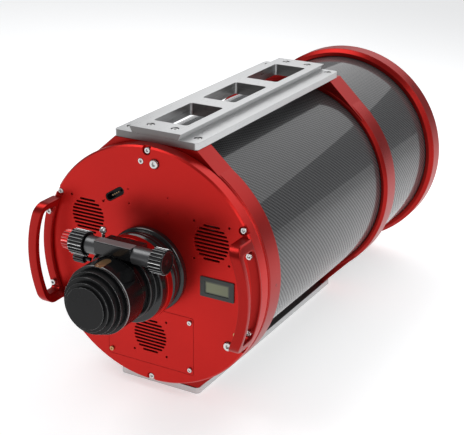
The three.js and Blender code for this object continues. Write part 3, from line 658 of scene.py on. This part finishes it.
def build_rails():
    low, high = extent("top_rail")
    outline = rectangle(low.x, high.x, low.y, high.y, RAIL_CORNER, 8)
    step = low.z + BASE
    windows = [rail_window(index) for index in range(3)]
    bores = [circle(SCREW_BORE, place) for place in LEDGE_SCREWS]
    base = plate(outline, windows + bores, low.z, step, 0.5, flat)
    sinks = [circle(SCREW_BORE, place) for place in TOP_SCREWS]
    bar = dovetail_bar(low, high, step - 0.2, windows + sinks)
    duller_ends(refine("top_rail", joined(base, bar), aluminium))
    for index, (x, y) in enumerate(TOP_SCREWS):
        counterbored_screw(f"rail_top_screw_{index + 1}", x, y, high.z)
    for index, (x, y) in enumerate(LEDGE_SCREWS):
        counterbored_screw(f"rail_ledge_screw_{index + 1}", x, y, step)

    low, high = extent("bottom_rail")
    outline = rectangle(low.x, high.x, low.y, high.y, RAIL_CORNER, 8)
    base = plate(outline, bores, low.z, high.z, 0.5, flat)
    refine("bottom_rail", base, aluminium)


# ---------- back plate ----------
FANS = [centre_of(f"fan_frame_{index}") for index in (1, 2, 3)]
FAN_HALF = 30.3
FAN_SCREW = 25  # from a fan's axis to its screws, along each side
GRILLE = {"radius": 25, "pitch": 4.9, "slot": 2.7, "count": 10}
WEB = 3.6  # thickness of the plate's outer skin
FOCUSER_HOLE = 46.5
NOTCH = 5.8
SOCKET = {"length": 31, "width": 10.5, "slope": 32.5}
COLLIMATION = [centre_of(f"collimation_screw_{index}") for index in (1, 2, 3)]
LOCK_STEP = 8.2  # degrees from a collimation screw to its hollow lock screw
LOCK_CIRCLE = 143
DIMPLES = [(30, 101), (30, 81), (-28, 83), (-66, 80), (-29, 102)]


def grille(centre):
    slots = []
    for row in range(GRILLE["count"]):
        rise = (row - (GRILLE["count"] - 1) / 2) * GRILLE["pitch"]
        length = 2 * math.sqrt(GRILLE["radius"] ** 2 - rise**2)
        slots.append(capsule(length, GRILLE["slot"], (centre.x, centre.z + rise)))
    return slots


def fan_screw_holes(centre):
    sides = (-FAN_SCREW, FAN_SCREW)
    return [circle(1.6, (centre.x + x, centre.z + z), 16) for z in sides for x in sides]


def rim_notch(screw):
    """A half-round bite out of the plate's edge, open outwards."""
    angle = math.degrees(math.atan2(screw.z, screw.x))
    distance = math.hypot(screw.x, screw.z)
    points = [polar(NOTCH, 90 + 15 * step) for step in range(13)]
    points += [(20, -NOTCH), (20, NOTCH)]
    turn = Matrix.Rotation(math.radians(angle), 2)
    moved = [tuple(turn @ (Vector(point) + Vector((distance, 0)))) for point in points]
    return plate(moved, [], -2, 5, 0.01)


def build_back_plate():
    start, end = span("back_plate")
    panel_low, panel_high = extent("access_panel")
    display_low, display_high = extent("display_bezel")
    socket = centre_of("power_socket")
    panel_sides = panel_low.x - GAP, panel_high.x + GAP, panel_low.z - GAP, panel_high.z + GAP
    pocket = rectangle(*panel_sides, 3 + GAP)
    opening = rectangle(display_low.x + 3, display_high.x - 3, display_low.z + 2, display_high.z - 2, 1)
    length, width = SOCKET["length"] + 2 * GAP, SOCKET["width"] + 2 * GAP
    slot = capsule(length, width, (socket.x, socket.z), SOCKET["slope"])
    bore = circle(FOCUSER_HOLE, count=MEDIUM)
    fans = []
    for fan in FANS:
        sides = fan.x - FAN_HALF, fan.x + FAN_HALF, fan.z - FAN_HALF, fan.z + FAN_HALF
        fans.append(rectangle(*sides, 3))
    holes = [pocket, opening, slot, bore, *grille(FANS[0]), *grille(FANS[1])]
    holes += fan_screw_holes(FANS[0]) + fan_screw_holes(FANS[1])
    for screw in COLLIMATION:
        angle = math.degrees(math.atan2(screw.z, screw.x))
        holes.append(circle(6.7, (screw.x, screw.z)))
        holes.append(circle(3.9, polar(LOCK_CIRCLE, angle + LOCK_STEP)))
    holes += [circle(0.9, dimple, 12) for dimple in DIMPLES]
    rim = circle(RING + 1, count=FINE)
    skin = plate(rim, holes, start, WEB, 0.35)
    core_holes = [opening, slot, bore, *fans]
    core = plate(circle(RING, count=FINE), core_holes, WEB - 0.05, end, 0.02)
    profile = [(0, start - 1), (RING - 3.2, start - 1), (RING, start + 2.2)]
    profile += [(RING, end - 1), (RING - 2, end + 1), (0, end + 1)]
    whole = combined(skin, [core], "UNION")
    whole = combined(whole, [turned(softened(profile, 0.6), FINE)], "INTERSECT")
    notches = joined(*[rim_notch(centre_of(f"rim_screw_{index + 1}")) for index in range(6)])
    refine("back_plate", combined(whole, [notches]), red)

    outline = rectangle(panel_low.x, panel_high.x, panel_low.z, panel_high.z, 3)
    corners = [centre_of(f"panel_screw_{index + 1}") for index in range(4)]
    holes = grille(FANS[2]) + fan_screw_holes(FANS[2])
    holes += [circle(1.8, (corner.x, corner.z), 16) for corner in corners]
    refine("access_panel", plate(outline, holes, panel_low.y, panel_high.y, 0.3), red)


def build_display():
    low, high = extent("display_bezel")
    glass_low, glass_high = extent("display_window")
    sides = glass_low.x - GAP, glass_high.x + GAP, glass_low.z - GAP, glass_high.z + GAP
    window = rectangle(*sides, 0.6)
    face = plate(rectangle(low.x, high.x, low.z, high.z, 1.2), [window], low.y, -0.1, 0.4)
    behind = rectangle(low.x + 4, high.x - 4, low.z + 3, high.z - 3, 1)
    body = plate(behind, [window], -0.3, high.y, 0.1)
    refine("display_bezel", joined(face, body), bezel)
    glass = block((glass_low.x, glass_high.x), (-0.7, 2.7), (glass_low.z, glass_high.z), 0.2)
    refine("display_window", glass, pane)


def build_socket():
    """The oval connector: a rim, a recess with contacts, and a floor."""
    start, end = span("power_socket")
    middle = centre_of("power_socket")
    place = (middle.x, middle.z)
    length, width, slope = SOCKET["length"], SOCKET["width"], SOCKET["slope"]
    depth = 8.2
    recess = capsule(length - 2.8, width - 2.8, place, slope)
    rim = plate(capsule(length, width, place, slope), [recess], start, depth, 0.3)
    floor = plate(capsule(length - 0.4, width - 0.4, place, slope), [], depth - 0.2, end, 0.2)
    tongue = plate(capsule(length * 0.55, 2.6, place, slope), [], 3.2, depth, 0.3)
    refine("power_socket", joined(rim, floor, tongue), plastic)
    for index in range(4):
        along = (index - 1.5) * 3.6
        x, z = polar(along, slope, place)
        contact = plate(circle(0.8, (x, z), 12), [], 2.6, 3.6, 0.2)
        add(f"socket_contact_{index + 1}", contact, brass, NODE_BODY["power_socket"])


# ---------- handles ----------
HANDLE = {"base": 5.2, "grip": 8.5, "opening": 59.5, "inner": 151.5, "corner": 14}


def outwards(along, across_bar, out):
    """Places a handle's outline: it reaches behind the plate and runs up its side."""
    return out, -along, across_bar


def build_handle(side, node):
    """A flat loop of bar bent to the curve of the plate's edge."""
    low, high = extent(node)
    inner, outer = HANDLE["inner"], max(abs(low.x), abs(high.x))
    reach, gap = -low.y, -high.y
    half = high.z
    rim = rectangle(gap, reach, -half, half, HANDLE["corner"], 10)
    straight = gap + HANDLE["corner"] + 1
    near = [point for point in rim if point[0] > straight + 0.5]
    outline = resampled([(gap, -half), (straight, -half), *near, (straight, half), (gap, half)], 3.5)
    opening = HANDLE["opening"]
    hole = resampled(rectangle(HANDLE["base"], reach - HANDLE["grip"], -opening, opening, 5), 3.5)
    loop = plate(outline, [hole], inner, outer, 1.6, outwards)
    for vertex in loop.verts:
        reach_out = math.sqrt(vertex.co.x**2 - vertex.co.z**2)
        vertex.co.x = side * reach_out
    # The handle takes the darker copy of the red: painted shade.
    refine(node, facing_out(loop), shaded_red)


# ---------- fasteners ----------
# station along the tube, angle round it and radius of the surface, for each set screw in a ring
RING_SCREWS = [(40, 60.4, RING), (40, -0.8, RING), (424, 60.6, 160.5), (604, 44.7, RING)]


def socket_screw(node, head, height, material=steel, socket=0.5, dome=0.5):
    """A socket-head screw on a node's own axis, its face at the node's rear."""
    low, high = extent(node)
    x, z = (low.x + high.x) / 2, (low.z + high.z) / 2
    hexagon = circle(head * socket, (x, z), 6)
    ring = plate(circle(head, (x, z)), [hexagon], low.y, low.y + height * 0.7, dome)
    floor = plate(circle(head - 0.1, (x, z)), [], low.y + height * 0.6, low.y + height, 0.2)
    stem = plate(circle(head * 0.42, (x, z), 16), [], low.y + height - 0.2, high.y, 0.2)
    refine(node, joined(ring, floor, stem), material)


def build_screws():
    for index in range(6):
        socket_screw(f"rim_screw_{index + 1}", 3.9, 3.6)
    for index in range(4):
        socket_screw(f"panel_screw_{index + 1}", 3.2, 2.0, brass if index == 2 else steel)
        socket_screw(f"handle_screw_{index + 1}", 4.1, 3.5)
    for index, place in enumerate(COLLIMATION):
        socket_screw(f"collimation_screw_{index + 1}", 5.8, 4.0, socket=0.42, dome=1.0)
        angle = math.degrees(math.atan2(place.z, place.x))
        lock = polar(LOCK_CIRCLE, angle + LOCK_STEP)
        sleeve = plate(circle(3.8, lock), [circle(1.9, lock, 6)], -0.5, 2.5, 0.4)
        floor = plate(circle(3.6, lock), [], 2.4, 4, 0.2)
        metal = brass if index == 1 else steel
        name = f"lock_set_screw_{index + 1}"
        add(name, joined(sleeve, floor), metal, "tube_assembly")
    for index, (station, angle, surface) in enumerate(RING_SCREWS):
        half = 0.6
        radius = surface - half
        plug = plate(circle(2.1), [circle(1.1, count=6)], -half, half, 0.25, flat)
        spin = Matrix.Rotation(math.radians(90 - angle), 4, "Y")
        for vertex in plug.verts:
            vertex.co = spin @ (vertex.co + Vector((0, station, radius)))
        add(f"ring_set_screw_{index + 1}", plug, plastic, "tube_assembly")


# ---------- focuser ----------
TUBE_BORE = 41.3
FLANGE_BORE = 44.3
SHAFT = (-68, 49)  # y and z of the pinion's axis
SHAFT_BORE = 3.3
PINION_BOSS = 11.5
HOUSING_HALF = 27  # half the width of the bridge and of the body's flat top
CLAMP = {"middle": -98.5, "length": 26.2, "width": 12}
DUST_CAP_FACETS = 160


def stepped(points, inner, soften=0.5, segments=MEDIUM):
    """A turned sleeve: an outer profile of (radius, station), closed along its bore."""
    profile = [(inner, points[0][1]), *points, (inner, points[-1][1])]
    return turned(softened(profile, soften), segments)


def build_flange():
    outline = [(57, -GAP), (57, -6.6), (55.8, -8), (53.4, -8.8), (53.4, -16.4), (52.6, -17)]
    outline += [(52.6, -18), (54.8, -19.4), (55, -20), (55, -24), (52.4, -27.2)]
    face = stepped(outline, FLANGE_BORE)
    outside = FOCUSER_HOLE - GAP
    spigot = turned([(FLANGE_BORE, -1), (outside, -1), (outside, 16), (FLANGE_BORE, 16)], MEDIUM)
    refine("focuser_flange", joined(face, spigot), black)
    start, end = span("focuser_rotator")
    shoulder = -31.5
    ring = stepped([(56.5, shoulder), (56.5, start)], FLANGE_BORE, 0.9)
    collar = stepped([(49.5, end), (49.5, shoulder - 0.1)], FLANGE_BORE, 0.3)
    refine("focuser_rotator", joined(ring, collar), red)


def build_focuser_body():
    """A barrel round the drawtube, with a flat top that carries a slotted lid."""
    front = -42.4
    outline = [(54, front), (54, -51.6), (52.8, -53), (46.6, -53.4), (45.5, -54), (45.5, -63)]
    barrel = stepped([*outline, (44.6, -64)], TUBE_BORE)
    slots = [rectangle(x - 3, x + 3, -46.8, -44.2, 1.2) for x in (-21, -7, 7, 21)]
    top = rectangle(-HOUSING_HALF, HOUSING_HALF, -57, front, 1)
    saddle = plate(top, [], 30, 54.5, 0.5, flat)
    lid = plate(top, slots, 54.2, 55.5, 0.3, flat)
    bore = turned([(0, -41), (TUBE_BORE, -41), (TUBE_BORE, -70), (0, -70)], MEDIUM)
    slide = block((-6.6, 6.6), (-70, -40), (30, 43.9), 0.1)
    saddle = combined(saddle, [bore])
    refine("focuser_body", combined(combined(barrel, [saddle], "UNION"), [slide]), black)
    add("focuser_body_top", lid, polished_black, NODE_BODY["focuser_body"])


def bearing_rod(start, end):
    """One of the two round bosses that carry the pinion shaft, rounded at its outer end."""
    chamfer = 0.8
    shoulder = end - math.copysign(chamfer, end - start)
    profile = [(SHAFT_BORE, start), (PINION_BOSS, start), (PINION_BOSS, shoulder)]
    profile += [(PINION_BOSS - chamfer, end), (SHAFT_BORE, end)]
    return turned(softened(profile, 0.3), MEDIUM, "X", SHAFT)


def build_pinion_housing():
    """A bridge over the drawtube between two round bosses, and a glossy shelf behind it."""
    low, high = extent("pinion_housing")
    half, bridge, shelf = HOUSING_HALF, -65, extent("focuser_body")[1].z
    foot = 43.9
    room = [(0, -50), (46.1, -50), (46.1, -80), (0, -80)]
    front = block((-half, half), (low.y, bridge), (foot, high.z), 0.7)
    front = combined(front, [turned(room)])
    rear = block((-half, half), (bridge - 1, high.y), (foot, shelf - 1.4), 0.2)
    rear = combined(rear, [turned(room)])
    slots = [rectangle(x - 3, x + 3, -63.6, -61.4, 1) for x in (-10, 4.5)]
    outline = rectangle(-half, half, bridge - 0.5, high.y, 0.4)
    top = plate(outline, slots, shelf - 1.5, shelf, 0.25, flat)
    body, slot = NODE_BODY["pinion_housing"], "black_anodised"
    bosses = joined(bearing_rod(1 - half, low.x), bearing_rod(half - 1, high.x))
    refine("pinion_housing", bosses, satin_black)
    add("housing_bridge", front, black, body)
    add("housing_shelf", joined(rear, top), polished_black, body)
    inset = 0.4
    outline = rectangle(inset - half, half - inset, low.y + inset, bridge - inset, 0.6)
    strip = plate(outline, [], high.z - 0.3, high.z + 0.4, 0.2, flat)
    add("housing_strip", strip, satin_grey, body)


def grip(node, radius, flutes, depth, hollow, material, bright):
    """A knurled knob on the pinion axis with a turned face."""
    low, high = extent(node)
    outward = 1 if high.x > 0 else -1
    near, far = (low.x, high.x) if outward > 0 else (high.x, low.x)
    ends = sorted((near, far - outward))
    bore = circle(SHAFT_BORE + 0.1, SHAFT)
    sleeve = plate(fluted(radius, depth, flutes, SHAFT, 12), [bore], *ends, 0.3, sideways)
    ends = sorted((far - outward * 2.2, far))
    opening = circle(hollow, SHAFT, 48)
    face = plate(circle(radius - 1.6, SHAFT, 64), [opening], *ends, 0.5, sideways)
    ends = sorted((far - outward * 2.4, far - outward * 1.4))
    floor = plate(circle(hollow + 0.3, SHAFT, 48), [], *ends, 0.15, sideways)
    refine(node, joined(face, floor), material)
    shader = material.node_tree.nodes["Principled BSDF"]
    dark = tuple(shader.inputs["Base Color"].default_value)[:3]
    # The knurled sleeve's material carries a painted highlight on its crests.
    painted_crest_highlight = knurled(f"{node}_knurling", dark, bright, radius, 0.5, SHAFT)
    add(f"{node}_sleeve", sleeve, painted_crest_highlight, NODE_BODY[node])


def build_knobs():
    # The pale and the pink are painted highlight colours for the crests of the knurling.
    pale, pink = (0.8, 0.8, 0.8), (0.9, 0.4, 0.4)
    grip("coarse_knob_right", 16, 22, 1.7, 12.2, black, pale)
    grip("coarse_knob_left", 16, 22, 1.7, 13, black, pale)
    grip("fine_knob", 12, 18, 1.4, 8.5, red, pink)
    low, high = extent("tension_knob")
    middle = (low + high) / 2
    centre = (middle.y, middle.z)
    neck = low.x + 15
    head = plate(fluted(6.8, 0.8, 14, centre), [], low.x, neck + 0.4, 0.6, sideways)
    stem = turned([(0, neck), (2.6, neck), (2.6, high.x), (0, high.x)], SMALL, "X", centre)
    refine("tension_knob", joined(head, stem), black)


def build_thumbscrew():
    low, high = extent("lock_thumbscrew")
    centre = ((low.x + high.x) / 2, (low.y + high.y) / 2)
    top = high.z
    profile = [(0, low.z), (2, low.z), (2, 50.4), (2.9, 50.6), (2.9, 53), (2.1, 53.6)]
    profile += [(2.1, top - 9.4), (3.0, top - 9), (4.2, top - 7.2), (4.4, top - 5)]
    profile += [(3.7, top - 2), (2.2, top - 0.5), (0, top)]
    refine("lock_thumbscrew", turned(softened(profile, 0.4), 48, "Z", centre), steel)


def painted_edge_highlights(piece):
    """The rounded edges of a turned black piece are painted brighter than its faces: painted highlights
    where the edges catch the lamps.
    """
    piece.data.materials.append(edge_highlight_black)
    for face in piece.data.polygons:
        if 0.3 < abs(face.normal.y) < 0.95:
            face.material_index = 1


def build_drawtube():
    start, end = span("drawtube")
    tube = turned(softened([(34, start), (41, start), (41, end), (34, end)], 0.4), MEDIUM)
    slide = block((-6.4, 6.4), (start + 1, end - 1), (40, 44), 0.1)
    painted_edge_highlights(refine("drawtube", combined(tube, [slide]), deep_black))


def build_adapter():
    """The sleeve at the end of the drawtube, with a brass strip let into its top."""
    start, end = span("eyepiece_adapter")
    outer, sunk = 44.4, 43.8
    lip = -84.3
    profile = [(TUBE_BORE, end), (sunk, end), (outer, end - 0.7), (outer, start + 3.6)]
    profile += [(sunk, start + 3), (sunk, start + 2.4), (outer, start + 1.8), (outer, start)]
    profile += [(34, start), (34, lip), (TUBE_BORE, lip)]
    recess = capsule(CLAMP["length"] + 0.8, CLAMP["width"] + 0.8, (0, CLAMP["middle"]), 90)
    sleeve = turned(softened(profile, 0.3), MEDIUM)
    sleeve = combined(sleeve, [plate(recess, [], 42, 52, 0.1, flat)])
    painted_edge_highlights(refine("eyepiece_adapter", sleeve, deep_black))
    outline = capsule(CLAMP["length"], CLAMP["width"], (0, CLAMP["middle"] + 0.1), 90)
    strip = plate(resampled(outline, 0.8), [], 42.3, 43.6, 0.4, flat)
    for vertex in strip.verts:
        radius = vertex.co.z + 0.9
        vertex.co.z = math.sqrt(radius**2 - vertex.co.x**2)
    profile = [(0, 44), (1.3, 44), (1.3, 44.9), (0.6, 44.9), (0.6, 44.6), (0, 44.6)]
    mark = turned(profile, 24, "Z", (-1.5, -107))
    refine("clamp_strip", strip, brass)
    add("clamp_strip_screw", mark, steel, NODE_BODY["clamp_strip"])


def build_cap():
    """A plug that fits the adapter, behind a stack of four discs."""
    start = span("eyepiece_adapter")[0] - GAP
    face = span("dust_cap")[0]
    plug = [(0, start + 14), (33.4, start + 14), (33.7, start + 13), (33.7, start - 1), (0, start - 1)]
    discs = [(40.5, start, -121.5), (36.8, -121, -129.9), (31.5, -129.5, -135.3), (27, -135, face)]
    steps = [turned(plug, DUST_CAP_FACETS)]
    for radius, near, far in discs:
        disc = [(0, near), (radius, near), (radius, far), (0, far)]
        steps.append(turned(softened(disc, 0.35), DUST_CAP_FACETS))
    painted_edge_highlights(refine("dust_cap", joined(*steps), plastic))


# ---------- optics ----------
PRIMARY = {"bore": 41, "rim": 127, "hollow": 5}
SECONDARY = {"rim": 52, "bulge": 2.4}
CURVE_STEPS = 8


def build_optics():
    start, end = span("primary_mirror")
    bore, rim = PRIMARY["bore"], PRIMARY["rim"]
    edge = rim - 1
    profile = [(bore, start), (edge, start), (rim, start + 1), (rim, end - 1), (edge, end)]
    for step in range(1, CURVE_STEPS + 1):
        radius = edge - (edge - bore - 1) * step / CURVE_STEPS
        profile.append((radius, end - PRIMARY["hollow"] * (1 - (radius / edge) ** 2)))
    profile.append((bore, end - PRIMARY["hollow"] - 0.2))
    refine("primary_mirror", turned(profile, 160), mirror)
    start, end = span("baffle_tube")
    baffle = [(36.5, start), (46, start), (46, start + 6), (39, start + 6.6), (39, end), (36.5, end)]
    refine("baffle_tube", turned(softened(baffle, 0.4), MEDIUM), flat_black)
    start, end = span("secondary_mirror")
    rim = SECONDARY["rim"]
    shares = [step / CURVE_STEPS for step in range(CURVE_STEPS + 1)]
    bulge = [(rim * share, start + SECONDARY["bulge"] * share**2) for share in shares]
    refine("secondary_mirror", turned(bulge + [(rim, end), (0, end)], MEDIUM), mirror)
    start, end = span("secondary_holder")
    cone = [(0, start), (54, start), (54, start + 5.5), (20, end), (0, end)]
    refine("secondary_holder", turned(softened(cone, 0.6), MEDIUM), black)
    start, end = span("spider_ring")
    reach = radius_of("spider_ring")
    profile = [(reach - 3, start), (reach, start), (reach, end), (reach - 3, end)]
    refine("spider_ring", turned(softened(profile, 0.3), FINE), satin_black)
    hub = turned(softened([(0, start), (26, start), (26, end - 2), (22, end), (0, end)], 0.5), MEDIUM)
    vanes = []
    for angle in (45, 135, 225, 315):
        vane = block((20, reach - 3.5), (start + 1, end - 1), (-0.8, 0.8), 0.3)
        bmesh.ops.rotate(vane, verts=vane.verts, matrix=Matrix.Rotation(math.radians(angle), 3, "Y"))
        vanes.append(vane)
    refine("spider", joined(hub, *vanes), flat_black)
    for index in range(3):
        x, z = polar(15, 90 + 120 * index)
        screw = plate(circle(3, (x, z)), [circle(1.5, (x, z), 6)], end - 1.5, end + 1.8, 0.3)
        add(f"secondary_adjuster_{index + 1}", screw, steel, NODE_BODY["spider"])


# ---------- studio ----------
FLOOR_GLOW = 0.5  # a lit table, so that the floor stays white under soft lights
SKY = 0.26
# the place and the size in metres, and the brightness, of each softbox
SOFTBOXES = {
    "key": ((-1.4, -0.7, 2.6), (1.6, 1.6), 3.4),
    "side": ((2.2, 0.3, 1.7), (0.5, 1.4), 2.4),
    "rear": ((1.9, -1.7, 1.2), (0.45, 1.6), 5.0),
    "front": ((0.3, 0.95, 1.15), (3.4, 1.1), 1.15),
}


def build_floor():
    material = Nodes("studio_floor", (0.86, 0.865, 0.87), 0.0, 0.6, Emission_Strength=FLOOR_GLOW)
    material.shader.inputs["Emission Color"].default_value = (1, 1, 1, 1)
    shade = material.noise(2.0)
    material.set("Base Color", material.mix(shade, (0.85, 0.855, 0.86), (0.87, 0.875, 0.88)))
    mesh = bpy.data.meshes.new("floor")
    bm = bmesh.new()
    bmesh.ops.create_grid(bm, x_segments=8, y_segments=8, size=12)
    bm.to_mesh(mesh)
    bm.free()
    mesh.materials.append(material.material)
    floor = bpy.data.objects.new("floor", mesh)
    bpy.context.scene.collection.objects.link(floor)


def build_softbox(name, place, size, brightness):
    """A rectangular area light of even brightness that faces the middle of the tube."""
    data = bpy.data.lights.new(name, "AREA")
    data.shape = "RECTANGLE"
    data.size, data.size_y = size
    data.energy = brightness * math.pi * size[0] * size[1]
    light = bpy.data.objects.new(name, data)
    bpy.context.scene.collection.objects.link(light)
    light.location = place
    light.visible_camera = False
    direction = Vector((0, 0, AXIS)) - Vector(place)
    light.rotation_euler = direction.to_track_quat("-Z", "Y").to_euler()


def build_studio():
    build_floor()
    world = bpy.data.worlds.new("studio")
    bpy.context.scene.world = world
    world.use_nodes = True
    background = world.node_tree.nodes["Background"]
    background.inputs["Color"].default_value = (0.95, 0.97, 1.0, 1)
    background.inputs["Strength"].default_value = SKY
    for name, (place, size, brightness) in SOFTBOXES.items():
        build_softbox(f"{name}_softbox", place, size, brightness)
    bpy.context.scene.view_settings.view_transform = "Standard"


def build_camera():
    """The photographer's place: behind the tube, above it and to its right."""
    data = bpy.data.cameras.new("camera")
    data.lens = 91.38
    data.sensor_width = 36
    data.clip_end = 50
    camera = bpy.data.objects.new("camera", data)
    bpy.context.scene.collection.objects.link(camera)
    azimuth, elevation, roll = math.radians(29.29), math.radians(21.60), math.radians(0.44)
    back = Vector(
        (
            math.sin(azimuth) * math.cos(elevation),
            -math.cos(azimuth) * math.cos(elevation),
            math.sin(elevation),
        )
    )
    right = Vector((math.cos(azimuth), math.sin(azimuth), 0))
    up = back.cross(right)
    level = Matrix((right, up, back)).transposed()
    camera.matrix_world = Matrix.Translation((0.76563, FACE - 1.14845, AXIS + 0.61503)) @ (
        level @ Matrix.Rotation(roll, 3, "Z")
    ).to_4x4()
    bpy.context.scene.camera = camera


dress_frame()
build_tube()
build_rings()
build_rails()
build_back_plate()
build_display()
build_socket()
build_handle(-1, "handle_left")
build_handle(1, "handle_right")
build_screws()
build_flange()
build_focuser_body()
build_pinion_housing()
build_knobs()
build_thumbscrew()
build_drawtube()
build_adapter()
build_cap()
build_optics()
build_studio()
build_camera()
